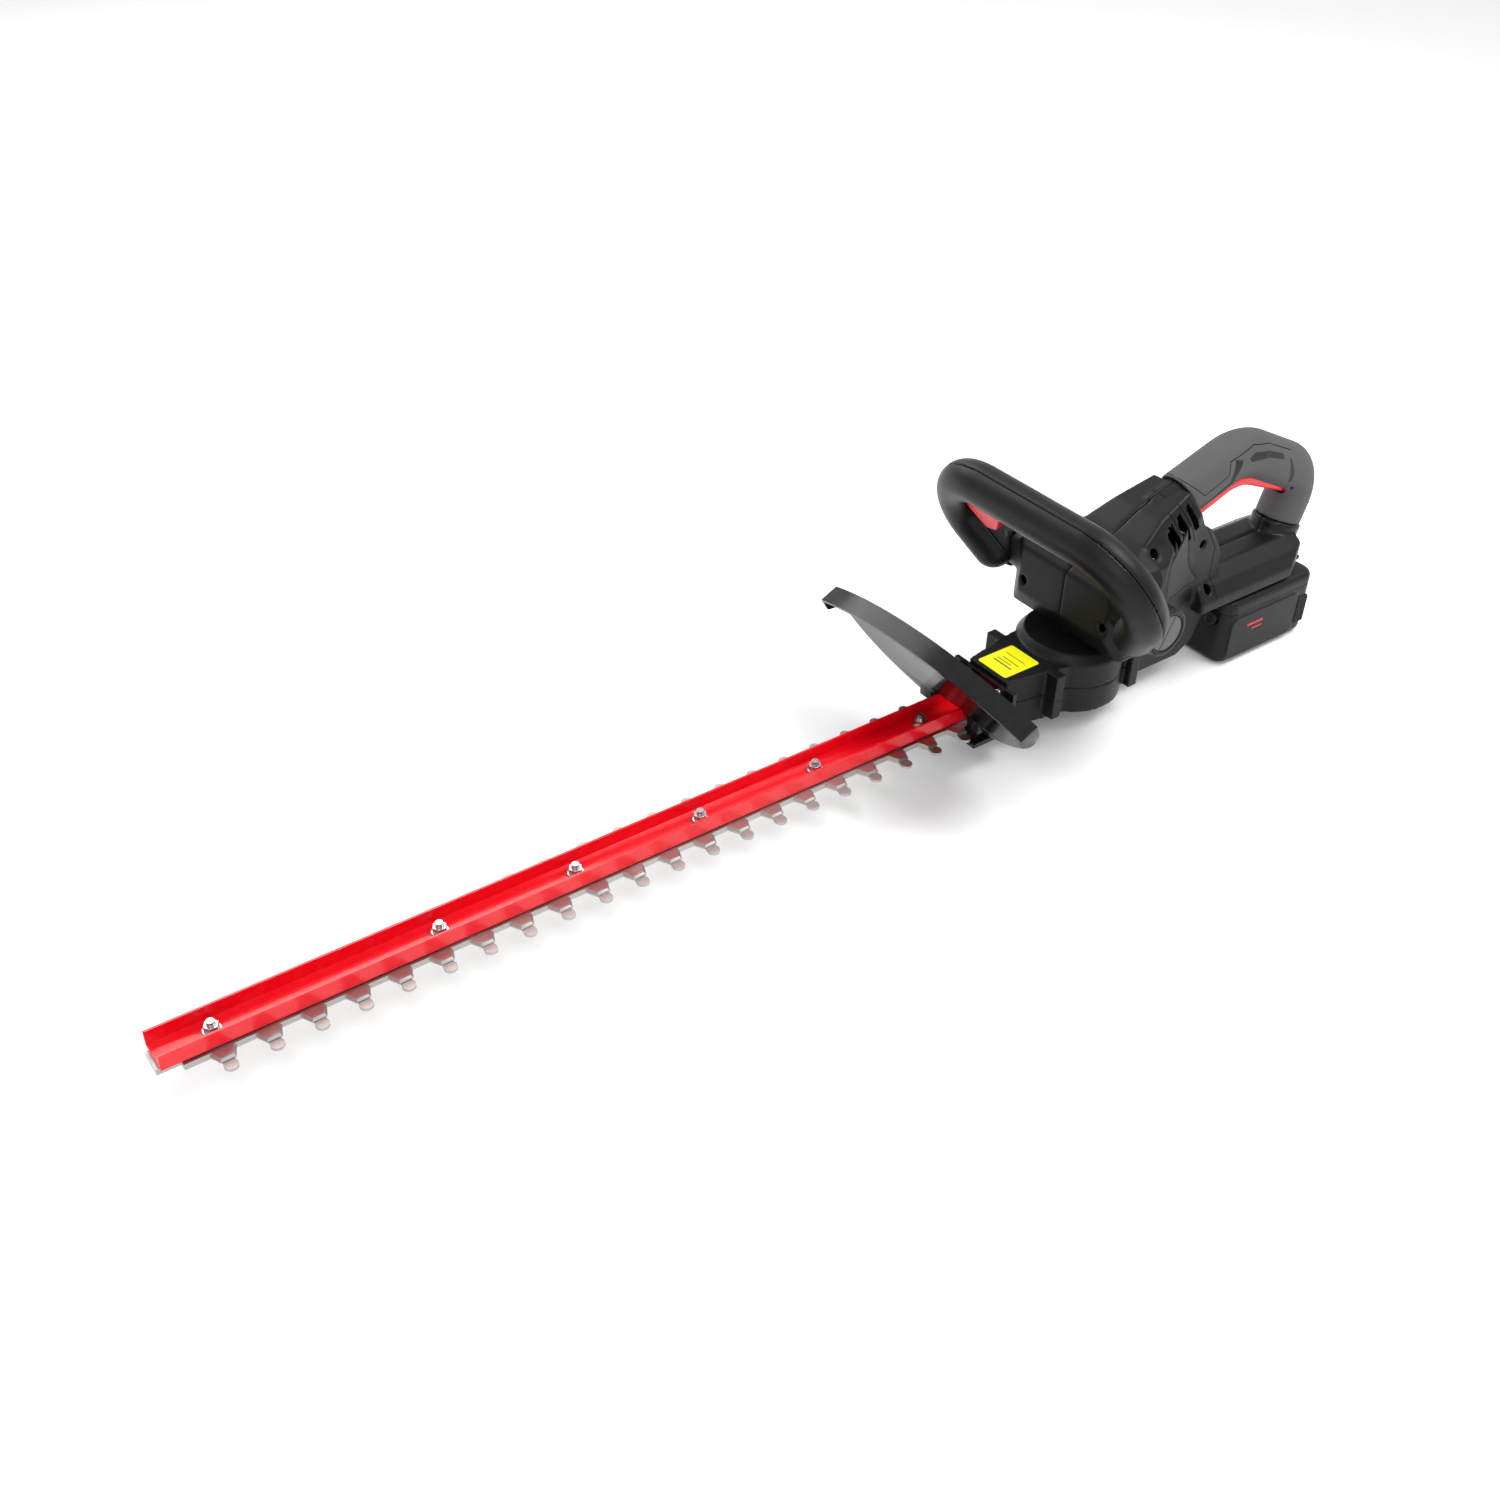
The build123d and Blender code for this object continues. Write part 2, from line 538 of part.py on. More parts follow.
loop_lean = 29.4
loop_foot_x, loop_foot_z = 14.0, 66.0
loop_radius = 15.5
loop_height = 91.0
loop_normal = Vector(cos(radians(loop_lean)), 0, -sin(radians(loop_lean)))
loop_plane = Plane(origin=(loop_foot_x, 0, loop_foot_z), x_dir=(0, 1, 0), z_dir=loop_normal)
loop_up = 1 if loop_plane.y_dir.Z > 0 else -1
loop_points = [(-72, 8), (-92, 38), (-88, loop_height), (88, loop_height), (92, 38), (72, 8)]
loop_bends = [34, 42, 42, 34]


def in_loop(y, s, n=0.0):
    """A point on the loop's plane: y across, s up the lean, n out of it to the front."""
    return loop_plane.from_local_coords((y, loop_up * s, n))


def loop_tube(radius):
    path = FilletPolyline(*[in_loop(y, s) for y, s in loop_points], radius=loop_bends)
    start = Plane(origin=path @ 0, x_dir=loop_normal, z_dir=path % 0)
    return sweep(start * Circle(radius), path=path)


ear_in, ear_out = 61.8, 86.0
ear_radius = 18.0
loop_solid = loop_tube(loop_radius)
for one in left_right(rod_y(boss_x, boss_z, ear_radius, ear_in, ear_out)):
    loop_solid += one
hollow = loop_tube(loop_radius - wall)
for y in (72, -72):
    loop_solid += Pos(in_loop(y, 8)) * Sphere(loop_radius)
loop_shell = loop_solid - (hollow - left_right(rod_y(boss_x, boss_z, ear_radius, ear_in - 4, ear_out + 4)))
loop_shell -= outer_form
for one in left_right(rod_y(boss_x, boss_z, 13.8, ear_out - 3.2, ear_out + 1)):
    loop_shell -= one
for one in left_right(rod_y(boss_x, boss_z, 2.2, ear_in - 1, ear_out)):
    loop_shell -= one

# front lever: a paddle under the bar, hinged near the right-hand bend
lever_thick = 9.0
lever_pin = in_loop(-78, 83)
lever_outline = [(-85, 84), (-84, 66), (-62, 42), (-50, 46), (-38, 68), (-36, 80), (-72, 88)]


def paddle(points, half_thick):
    wire = Polyline(*[in_loop(y, s, -half_thick) for y, s in points], close=True)
    return extrude(make_face(wire), 2 * half_thick, dir=loop_normal)


def turned(solid, degrees):
    """Turn a solid about the lever's pin."""
    return solid.rotate(Axis(lever_pin, loop_normal), degrees)


pin_dir = Plane(origin=lever_pin, x_dir=(0, 1, 0), z_dir=loop_normal)
lever = paddle(lever_outline, lever_thick / 2)
lever -= pin_dir * Cylinder(1.5 + 0.05, 60)
wide = [(-88, 86), (-87, 62), (-62, 40), (-49, 44), (-35, 66), (-33, 82), (-72, 91)]
swept_lever = paddle(wide, lever_thick / 2 + 0.5)
for degrees in (2, 4, 6):
    swept_lever += turned(paddle(wide, lever_thick / 2 + 0.5), degrees)
loop_shell -= swept_lever
loop_shell -= pin_dir * Cylinder(1.52, 26)
keep("front_lever", lever)
keep("lever_pin", pin_dir * Cylinder(1.5, 22))

split_plane = Plane(origin=(loop_foot_x, 0, loop_foot_z), z_dir=loop_normal)
front_space = split_plane * Pos(0, 0, 100) * Box(400, 400, 200)
front_half = loop_shell & front_space
rear_half = loop_shell - front_space
keep("loop_front_shell", largest(front_half))
keep("loop_rear_shell", largest(rear_half))
keep("loop_caps", *left_right(rod_y(boss_x, boss_z, 13.6, ear_out - 3.1, ear_out - 0.6)))
ear_screws = []
for sign in (1, -1):
    body_end, head_end = sign * 50, sign * (ear_out - 6)
    screw = rod_y(boss_x, boss_z, 1.95, min(body_end, head_end), max(body_end, head_end))
    ear_screws.append(screw)
keep("loop_screws", *ear_screws)

# springs and switches of both hand controls
trigger_coil = Rot(90, 0, 0) * (Cylinder(3.3, 0.7) - Cylinder(2.3, 0.7))
lever_coil = Cylinder(2.9, 0.5) - Cylinder(1.7, 0.5)
keep("trigger_spring", *[Pos(trigger_pin_x, y, trigger_pin_z) * trigger_coil for y in (7.55, -7.55)])
keep("lever_spring", *[pin_dir * (Pos(0, 0, along) * lever_coil) for along in (5.0, -5.0)])
rear_switch = block(-150, -126, -6, 6, 123, 137)
rear_switch += rod_z(-144, 0, 1.6, 121.6, 123)
keep("rear_switch", rear_switch)
switch_at = Plane(origin=in_loop(-20, 91), x_dir=(0, 1, 0), z_dir=loop_normal)
keep("front_switch", switch_at * Box(18, 12, 10))

# ---------------------------------------------------------------- battery mount and electrics

socket_bottom, socket_top = 27.3, 37.2
slot_front = -135.6
head_half, neck_half = 25.5, 20.0
slot_play = 0.6
socket = block(-205, -112, -34, 34, socket_bottom, socket_top)
socket -= block(-206, slot_front, -neck_half - slot_play, neck_half + slot_play, 27, 31)
socket -= block(-206, slot_front, -head_half - slot_play, head_half + slot_play, 30.2, 35.2)
socket -= block(-136, -127.8, -17.2, 17.2, 28.3, 35.2)
keep("battery_socket", socket)
blade_spots = [-12.0, -4.0, 4.0, 12.0]
terminals = block(-135.2, -128, -17, 17, 28.5, 35.0)
for y in blade_spots:
    terminals += block(-148, -135, y - 0.5, y + 0.5, 29.5, 33.5)
keep("terminal_block", terminals)
board = block(-104, -60, -17, 17, 40.4, 42.0)
for x in (-95, -84, -73):
    board += block(x - 3.5, x + 3.5, -12, -4, 42.0, 52.0)
board += rod_z(-78, 8, 6, 42.0, 56.0)
keep("control_board", board)
leads = []
for y in (6.0, -6.0):
    route = FilletPolyline((motor_x - 6, y, motor_top + 0.1), (motor_x - 6, y, 95),
                           (-66, y + 4, 95), (-68, y + 6, 56), radius=5)
    start = Plane(origin=route @ 0, z_dir=route % 0)
    leads.append(sweep(start * Circle(1.3), path=route))
keep("motor_leads", *leads)

# ---------------------------------------------------------------- battery pack

case_split = 14.0
case_wall = 2.6


def pack_form(inset):
    length = battery_front - battery_rear - 2 * inset
    middle = (battery_front + battery_rear) / 2
    height = battery_top - underside - 2 * inset
    plan_shape = RectangleRounded(length, 2 * (battery_half - inset), 11 - inset)
    outline = Pos(middle, 0, underside + inset) * plan_shape
    form = extrude(outline, height, dir=(0, 0, 1))
    edges = form.edges().group_by(Axis.Z)
    form = fillet(edges[0], 7 - inset)
    return fillet(form.edges().group_by(Axis.Z)[-1], 6 - inset)


pack_outer = pack_form(0.0)
case = pack_outer - pack_form(case_wall)
for sign in (1, -1):
    middle = (battery_front + battery_rear) / 2
    panel = Pos(middle + 6, sign * battery_half, -8) * Rot(90, 0, 0) * RectangleRounded(78, 36, 6)
    case += extrude(panel, 1.0, dir=(0, sign, 0))
tongue = block(-226, -137, -neck_half, neck_half, battery_top - 3, 31)
tongue += block(-226, -137, -head_half, head_half, 30.8, 34.6)
for y in blade_spots:
    tongue -= block(-153, -137, y - 1.8, y + 1.8, 26, 34.6)
case += tongue
latch_y, latch_z, latch_radius = 22.0, 8.0, 6.0
case -= rod_x(latch_y, latch_z, latch_radius + 0.3, battery_front - 6, battery_front + 1)
divide = block(-260, -100, -60, 60, case_split, 60)
keep("battery_upper_case", largest(case & divide))
keep("battery_lower_case", largest(case - divide))
latch = rod_x(latch_y, latch_z, latch_radius, battery_front - 2.6, battery_front + 2.4)
latch -= rod_x(latch_y, latch_z, latch_radius - 2.4, battery_front + 1.6, battery_front + 2.4)
keep("battery_latch", latch)
cells = []
cell_radius, cell_pitch, cell_length = 9.0, 18.4, 65.0
for layer_z in (-18.6, -0.2):
    for i in range(5):
        x = battery_rear + 5.4 + cell_radius + cell_pitch * i
        cells.append(rod_y(x, layer_z, cell_radius, -cell_length / 2, cell_length / 2))
keep("battery_cells", *cells)
holders = []
for sign in (1, -1):
    holder = block(-229.6, -138.4, sign * 24, sign * 28, -27.6, 9.2)
    for layer_z in (-18.6, -0.2):
        for i in range(5):
            x = battery_rear + 5.4 + cell_radius + cell_pitch * i
            holder -= rod_y(x, layer_z, cell_radius + 0.02, -40, 40)
    holders.append(holder)
keep("cell_holders", *[largest(holder) for holder in holders])
keep("battery_board", block(-222, -148, -24, 24, 10.6, 12.2) + block(-170, -152, -14, 14, 12.2, 16))
contacts = []
for y in blade_spots:
    contact = block(-152.6, -138, y - 1.6, y + 1.6, 26.4, 34.0) - block(-150.5, -137, y - 0.9, y + 0.9, 26, 35)
    contacts.append(contact)
keep("battery_terminals", *contacts)
grips = []
for sign in (1, -1):
    pad = block(-229, -218.5, sign * (battery_half - 2), sign * (battery_half + 0.8), -20, 4)
    for i in range(5):
        x = -228 + 2.1 * i
        pad += block(x - 0.6, x + 0.6, sign * battery_half, sign * (battery_half + 1.6), -19, 3)
    grips.append(pad - pack_outer)
keep("battery_side_grips", *grips)

# ---------------------------------------------------------------- write the parts

os.makedirs("parts", exist_ok=True)
for name, solids in parts.items():
    placed = [Pos(shift_x, 0, shift_z) * s for s in solids]
    shape = placed[0] if len(placed) == 1 else Compound(children=placed)
    export_step(shape, f"parts/{name}.step")
print(len(parts), "parts written")
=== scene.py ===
import bpy
import bmesh
import json
from math import sin, cos, radians
from mathutils import Vector, Matrix


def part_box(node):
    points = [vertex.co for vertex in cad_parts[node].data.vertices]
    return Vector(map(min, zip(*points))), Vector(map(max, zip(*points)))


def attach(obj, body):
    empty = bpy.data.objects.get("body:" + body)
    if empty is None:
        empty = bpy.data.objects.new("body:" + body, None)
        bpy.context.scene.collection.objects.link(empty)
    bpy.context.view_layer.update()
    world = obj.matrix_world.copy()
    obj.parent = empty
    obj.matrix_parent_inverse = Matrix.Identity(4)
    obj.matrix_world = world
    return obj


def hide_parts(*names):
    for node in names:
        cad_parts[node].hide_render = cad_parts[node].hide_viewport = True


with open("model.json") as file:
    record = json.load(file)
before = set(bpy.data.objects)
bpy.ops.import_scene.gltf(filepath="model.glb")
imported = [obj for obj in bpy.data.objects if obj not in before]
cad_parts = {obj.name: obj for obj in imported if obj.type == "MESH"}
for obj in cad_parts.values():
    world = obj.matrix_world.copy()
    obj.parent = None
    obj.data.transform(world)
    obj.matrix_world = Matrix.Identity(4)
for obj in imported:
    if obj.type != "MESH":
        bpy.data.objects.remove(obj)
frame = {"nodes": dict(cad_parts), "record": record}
nodes = frame["nodes"]
bodyOf = {}
for bodyName, members in frame["record"]["behaviour"]["bodies"].items():
    for member in members:
        bodyOf[member] = bodyName
slotOf = {part["node"]: part["material_slot"] for part in frame["record"]["subparts"]}
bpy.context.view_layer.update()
mm = 0.001
joinDistance = 0.00002  # corners closer than this are one corner
driveX, bladeZ = -0.227, 0.031  # the drive gear's axis and the blades' plane in the shared frame
print("frame loaded", len(nodes), "nodes")


def at(x, y, z):
    # a point measured in millimetres from the drive gear's axis and the blades' plane
    return Vector((driveX + x * mm, y * mm, bladeZ + z * mm))


# node groups

def newGroup(name, inputs, outputs):
    group = bpy.data.node_groups.new(name, "ShaderNodeTree")
    for socketName, kind, value in inputs:
        socket = group.interface.new_socket(name=socketName, in_out="INPUT", socket_type="NodeSocket" + kind)
        if value is not None:
            socket.default_value = value
    for socketName, kind in outputs:
        group.interface.new_socket(name=socketName, in_out="OUTPUT", socket_type="NodeSocket" + kind)
    return group, group.nodes.new("NodeGroupInput"), group.nodes.new("NodeGroupOutput")


def addNode(tree, kind, links=(), **settings):
    # links gives each input either a socket to join or a plain value
    node = tree.nodes.new("ShaderNode" + kind)
    for key, value in settings.items():
        setattr(node, key, value)
    for socketName, value in dict(links).items():
        socket = node.inputs[socketName]
        if isinstance(value, bpy.types.NodeSocket):
            tree.links.new(value, socket)
        else:
            socket.default_value = value
    return node


def buildMouldGrain():
    # fine spark-eroded texture of a moulding, with broad slow changes of tone
    group, source, result = newGroup(
        "mouldGrain",
        [("Vector", "Vector", None), ("Grain Size", "Float", 0.0006), ("Tone", "Float", 0.15),
         ("Color", "Color", (0.05, 0.05, 0.05, 1)), ("Roughness", "Float", 0.5)],
        [("Color", "Color"), ("Roughness", "Float"), ("Height", "Float")])
    scale = addNode(group, "Math", {0: 1.0, 1: source.outputs["Grain Size"]}, operation="DIVIDE")
    fine = addNode(group, "TexNoise", {"Vector": source.outputs["Vector"], "Scale": scale.outputs[0],
                                       "Detail": 3.0, "Roughness": 0.6})
    cells = addNode(group, "TexVoronoi", {"Vector": source.outputs["Vector"], "Scale": scale.outputs[0]},
                    feature="SMOOTH_F1")
    height = addNode(group, "Math", {0: fine.outputs["Fac"], 1: cells.outputs["Distance"]}, operation="ADD")
    slow = addNode(group, "TexNoise", {"Vector": source.outputs["Vector"], "Scale": 22.0, "Detail": 5.0})
    shift = addNode(group, "MapRange", {"Value": slow.outputs["Fac"], "From Min": 0.3, "From Max": 0.7,
                                        "To Min": -0.5, "To Max": 0.5})
    amount = addNode(group, "Math", {0: shift.outputs[0], 1: source.outputs["Tone"]}, operation="MULTIPLY")
    bright = addNode(group, "Math", {0: amount.outputs[0], 1: 1.0}, operation="ADD")
    colour = addNode(group, "HueSaturation", {"Color": source.outputs["Color"], "Value": bright.outputs[0]})
    rough = addNode(group, "Math", {0: amount.outputs[0], 1: 0.5, 2: source.outputs["Roughness"]},
                    operation="MULTIPLY_ADD", use_clamp=True)
    group.links.new(colour.outputs[0], result.inputs["Color"])
    group.links.new(rough.outputs[0], result.inputs["Roughness"])
    group.links.new(height.outputs[0], result.inputs["Height"])
    return group


def buildEdgeWear():
    # corners rub paler and smoother than the faces beside them
    group, source, result = newGroup(
        "edgeWear",
        [("Vector", "Vector", None), ("Color", "Color", (0, 0, 0, 1)), ("Roughness", "Float", 0.5),
         ("Worn Color", "Color", (0.3, 0.3, 0.3, 1)), ("Worn Roughness", "Float", 0.3), ("Amount", "Float", 0.5)],
        [("Color", "Color"), ("Roughness", "Float"), ("Mask", "Float")])
    shape = addNode(group, "NewGeometry")
    corner = addNode(group, "MapRange", {"Value": shape.outputs["Pointiness"], "From Min": 0.515, "From Max": 0.6})
    patches = addNode(group, "TexNoise", {"Vector": source.outputs["Vector"], "Scale": 160.0, "Detail": 6.0})
    broken = addNode(group, "MapRange", {"Value": patches.outputs["Fac"], "From Min": 0.4, "From Max": 0.62})
    both = addNode(group, "Math", {0: corner.outputs[0], 1: broken.outputs[0]}, operation="MULTIPLY")
    mask = addNode(group, "Math", {0: both.outputs[0], 1: source.outputs["Amount"]}, operation="MULTIPLY",
                   use_clamp=True)
    colour = addNode(group, "MixRGB", {"Fac": mask.outputs[0], "Color1": source.outputs["Color"],
                                       "Color2": source.outputs["Worn Color"]})
    span = addNode(group, "MapRange", {"Value": mask.outputs[0], "To Min": source.outputs["Roughness"],
                                       "To Max": source.outputs["Worn Roughness"]})
    group.links.new(colour.outputs[0], result.inputs["Color"])
    group.links.new(span.outputs[0], result.inputs["Roughness"])
    group.links.new(mask.outputs[0], result.inputs["Mask"])
    return group


def buildGroundSteel():
    # long scratches left by a grinding wheel, along the stretched direction
    group, source, result = newGroup(
        "groundSteel",
        [("Vector", "Vector", None), ("Color", "Color", (0.6, 0.6, 0.6, 1)), ("Roughness", "Float", 0.3)],
        [("Color", "Color"), ("Roughness", "Float"), ("Height", "Float")])
    lines = addNode(group, "TexNoise", {"Vector": source.outputs["Vector"], "Scale": 900.0, "Detail": 4.0})
    film = addNode(group, "TexNoise", {"Vector": source.outputs["Vector"], "Scale": 30.0, "Detail": 5.0})
    tone = addNode(group, "MapRange", {"Value": film.outputs["Fac"], "From Min": 0.3, "From Max": 0.7,
                                       "To Min": 0.86, "To Max": 1.08})
    streak = addNode(group, "MapRange", {"Value": lines.outputs["Fac"], "From Min": 0.25, "From Max": 0.75,
                                         "To Min": 0.93, "To Max": 1.05})
    value = addNode(group, "Math", {0: tone.outputs[0], 1: streak.outputs[0]}, operation="MULTIPLY")
    colour = addNode(group, "HueSaturation", {"Color": source.outputs["Color"], "Value": value.outputs[0]})
    rough = addNode(group, "Math", {0: lines.outputs["Fac"], 1: 0.18, 2: source.outputs["Roughness"]},
                    operation="MULTIPLY_ADD", use_clamp=True)
    group.links.new(colour.outputs[0], result.inputs["Color"])
    group.links.new(rough.outputs[0], result.inputs["Roughness"])
    group.links.new(lines.outputs["Fac"], result.inputs["Height"])
    return group


mouldGrain = buildMouldGrain()
edgeWear = buildEdgeWear()
groundSteel = buildGroundSteel()
print("node groups built")


# materials

def startMaterial(name):
    material = bpy.data.materials.new(name)
    material.use_nodes = True
    tree = material.node_tree
    shader = tree.nodes["Principled BSDF"]
    place = tree.nodes.new("ShaderNodeTexCoord").outputs["Object"]
    return material, tree, shader, place


def finishMaterial(tree, shader, place, surface, settings):
    worn = addNode(tree, "Group", node_tree=edgeWear)
    tree.links.new(place, worn.inputs["Vector"])
    tree.links.new(surface.outputs["Color"], worn.inputs["Color"])
    tree.links.new(surface.outputs["Roughness"], worn.inputs["Roughness"])
    worn.inputs["Worn Color"].default_value = (*settings["wornColour"], 1)
    worn.inputs["Worn Roughness"].default_value = settings["wornRoughness"]
    worn.inputs["Amount"].default_value = settings["wear"]
    tree.links.new(worn.outputs["Color"], shader.inputs["Base Color"])
    tree.links.new(worn.outputs["Roughness"], shader.inputs["Roughness"])
    bump = addNode(tree, "Bump", {"Height": surface.outputs["Height"], "Strength": settings["bump"],
                                  "Distance": 0.0002})
    tree.links.new(bump.outputs["Normal"], shader.inputs["Normal"])
    shader.inputs["Metallic"].default_value = settings.get("metallic", 0.0)
    shader.inputs["Coat Weight"].default_value = settings.get("coat", 0.0)
    shader.inputs["Coat Roughness"].default_value = settings.get("coatRoughness", 0.1)
    shader.inputs["Specular IOR Level"].default_value = settings.get("specular", 0.5)


def mouldedMaterial(name, settings):
    material, tree, shader, place = startMaterial(name)
    surface = addNode(tree, "Group", node_tree=mouldGrain)
    tree.links.new(place, surface.inputs["Vector"])
    surface.inputs["Color"].default_value = (*settings["colour"], 1)
    surface.inputs["Roughness"].default_value = settings["roughness"]
    surface.inputs["Grain Size"].default_value = settings["grainSize"]
    surface.inputs["Tone"].default_value = settings["tone"]
    finishMaterial(tree, shader, place, surface, settings)
    return material


def metalMaterial(name, settings):
    material, tree, shader, place = startMaterial(name)
    stretch = addNode(tree, "Mapping", {"Vector": place, "Scale": settings["stretch"]})
    surface = addNode(tree, "Group", node_tree=groundSteel)
    tree.links.new(stretch.outputs[0], surface.inputs["Vector"])
    surface.inputs["Color"].default_value = (*settings["colour"], 1)
    surface.inputs["Roughness"].default_value = settings["roughness"]
    finishMaterial(tree, shader, place, surface, settings)
    return material


mouldings = {
    "housingPlastic": dict(colour=(0.0055, 0.0055, 0.006), roughness=0.4, grainSize=0.0007, tone=0.25, bump=0.3,
                           wornColour=(0.035, 0.035, 0.037), wornRoughness=0.35, wear=0.3, specular=0.22),
    "coverPlastic": dict(colour=(0.007, 0.007, 0.0075), roughness=0.36, grainSize=0.0006, tone=0.2, bump=0.25,
                         wornColour=(0.04, 0.04, 0.04), wornRoughness=0.3, wear=0.3, specular=0.25),
    "gripRubber": dict(colour=(0.075, 0.075, 0.078), roughness=0.68, grainSize=0.0005, tone=0.2, bump=0.45,
                       wornColour=(0.17, 0.17, 0.175), wornRoughness=0.5, wear=0.3, specular=0.35),
    "insetRubber": dict(colour=(0.006, 0.006, 0.0065), roughness=0.6, grainSize=0.0005, tone=0.2, bump=0.4,
                        wornColour=(0.06, 0.06, 0.06), wornRoughness=0.4, wear=0.3, specular=0.4),
    "redChannelPaint": dict(colour=(0.72, 0.0, 0.008), roughness=0.26, grainSize=0.0025, tone=0.03, bump=0.02,
                            wornColour=(0.8, 0.05, 0.06), wornRoughness=0.3, wear=0.12, coat=0.35,
                            coatRoughness=0.06, specular=0.35),
    "redPlastic": dict(colour=(0.8, 0.004, 0.01), roughness=0.34, grainSize=0.0008, tone=0.08, bump=0.15,
                       wornColour=(0.8, 0.1, 0.1), wornRoughness=0.25, wear=0.2),
    "glossGuard": dict(colour=(0.004, 0.004, 0.0045), roughness=0.2, grainSize=0.003, tone=0.2, bump=0.02,
                       wornColour=(0.04, 0.04, 0.04), wornRoughness=0.25, wear=0.2, specular=0.3),
    "capPlastic": dict(colour=(0.06, 0.06, 0.062), roughness=0.42, grainSize=0.0008, tone=0.1, bump=0.15,
                       wornColour=(0.45, 0.45, 0.45), wornRoughness=0.3, wear=0.2),
    "labelFilm": dict(colour=(0.9, 0.86, 0.0), roughness=0.3, grainSize=0.001, tone=0.06, bump=0.05,
                      wornColour=(0.9, 0.88, 0.4), wornRoughness=0.4, wear=0.2),
    "switchPlastic": dict(colour=(0.03, 0.03, 0.03), roughness=0.4, grainSize=0.0008, tone=0.1, bump=0.2,
                          wornColour=(0.1, 0.1, 0.1), wornRoughness=0.3, wear=0.2),
    "boardGreen": dict(colour=(0.01, 0.09, 0.03), roughness=0.3, grainSize=0.0012, tone=0.2, bump=0.2,
                       wornColour=(0.2, 0.3, 0.1), wornRoughness=0.3, wear=0.2),
    "leadRed": dict(colour=(0.4, 0.02, 0.02), roughness=0.45, grainSize=0.0008, tone=0.1, bump=0.1,
                    wornColour=(0.5, 0.1, 0.1), wornRoughness=0.4, wear=0.1),
    "feltSeal": dict(colour=(0.02, 0.02, 0.02), roughness=0.9, grainSize=0.0006, tone=0.3, bump=0.9,
                     wornColour=(0.06, 0.06, 0.06), wornRoughness=0.9, wear=0.2),
    "cellWrap": dict(colour=(0.02, 0.14, 0.28), roughness=0.3, grainSize=0.002, tone=0.1, bump=0.05,
                     wornColour=(0.2, 0.3, 0.4), wornRoughness=0.3, wear=0.1),
    "seamShadow": dict(colour=(0.002, 0.002, 0.002), roughness=0.8, grainSize=0.001, tone=0.1, bump=0.1,
                       wornColour=(0.01, 0.01, 0.01), wornRoughness=0.8, wear=0.1, specular=0.1),
    "stripeRed": dict(colour=(0.55, 0.006, 0.012), roughness=0.45, grainSize=0.001, tone=0.05, bump=0.1,
                      wornColour=(0.6, 0.1, 0.1), wornRoughness=0.4, wear=0.1),
    "ferrite": dict(colour=(0.03, 0.03, 0.032), roughness=0.6, grainSize=0.0006, tone=0.3, bump=0.5,
                    wornColour=(0.1, 0.1, 0.1), wornRoughness=0.5, wear=0.4),
}
metals = {
    "bladeSteel": dict(colour=(0.46, 0.44, 0.42), roughness=0.34, stretch=(0.06, 1, 1), bump=0.12,
                       wornColour=(0.4, 0.4, 0.4), wornRoughness=0.25, wear=0.4, metallic=1.0),
    "zincPlate": dict(colour=(0.5, 0.5, 0.51), roughness=0.16, stretch=(1, 1, 0.2), bump=0.1,
                      wornColour=(0.8, 0.8, 0.8), wornRoughness=0.2, wear=0.3, metallic=1.0),
    "gearSteel": dict(colour=(0.38, 0.38, 0.39), roughness=0.32, stretch=(1, 1, 0.1), bump=0.15,
                      wornColour=(0.6, 0.6, 0.6), wornRoughness=0.25, wear=0.5, metallic=1.0),
    "brass": dict(colour=(0.75, 0.52, 0.18), roughness=0.22, stretch=(0.1, 1, 1), bump=0.1,
                  wornColour=(0.85, 0.65, 0.3), wornRoughness=0.2, wear=0.3, metallic=1.0),
}
finishes = {name: mouldedMaterial(name, settings) for name, settings in mouldings.items()}
finishes.update({name: metalMaterial(name, settings) for name, settings in metals.items()})
slotFinish = {
    "housing_plastic": "housingPlastic", "cover_plastic": "coverPlastic", "grip_rubber": "gripRubber",
    "red_channel": "redChannelPaint", "red_plastic": "redPlastic", "blade_steel": "bladeSteel",
    "fastener_steel": "zincPlate", "guard_plastic": "glossGuard", "label_film": "labelFilm",
    "cap_plastic": "capPlastic", "gear_steel": "gearSteel", "bearing_steel": "zincPlate",
    "motor_steel": "gearSteel", "magnet_ferrite": "ferrite", "switch_plastic": "switchPlastic",
    "contact_brass": "brass", "board_green": "boardGreen", "lead_red": "leadRed",
    "seal_rubber": "feltSeal", "cell_wrap": "cellWrap", "spring_steel": "gearSteel"}
for nodeName, node in nodes.items():
    node.data.materials.clear()
    node.data.materials.append(finishes[slotFinish[slotOf[nodeName]]])
print("materials made")


# pieces

def newPiece(name, mesh, body, finish):
    # a visible piece that rides on one body
    piece = bpy.data.objects.new(name, mesh)
    bpy.context.collection.objects.link(piece)
    mesh.materials.clear()
    mesh.materials.append(finishes[finish])
    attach(piece, body)
    return piece


def meshFrom(form, name):
    mesh = bpy.data.meshes.new(name)
    form.to_mesh(mesh)
    form.free()
    return mesh


def mergedCopy(nodeName):
    # a CAD node's loose triangles joined into whole faces
    form = bmesh.new()
    form.from_mesh(nodes[nodeName].data)
    bmesh.ops.remove_doubles(form, verts=form.verts, dist=joinDistance)
    bmesh.ops.dissolve_limit(form, angle_limit=radians(0.6), verts=form.verts, edges=form.edges)
    return form


def standIn(nodeName, mesh):
    # a piece that takes over from a CAD node, in that node's body and slot
    slotName = slotOf[nodeName]
    piece = newPiece(mesh.name, mesh, bodyOf[nodeName], slotFinish[slotName])
    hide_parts(nodeName)
    return piece


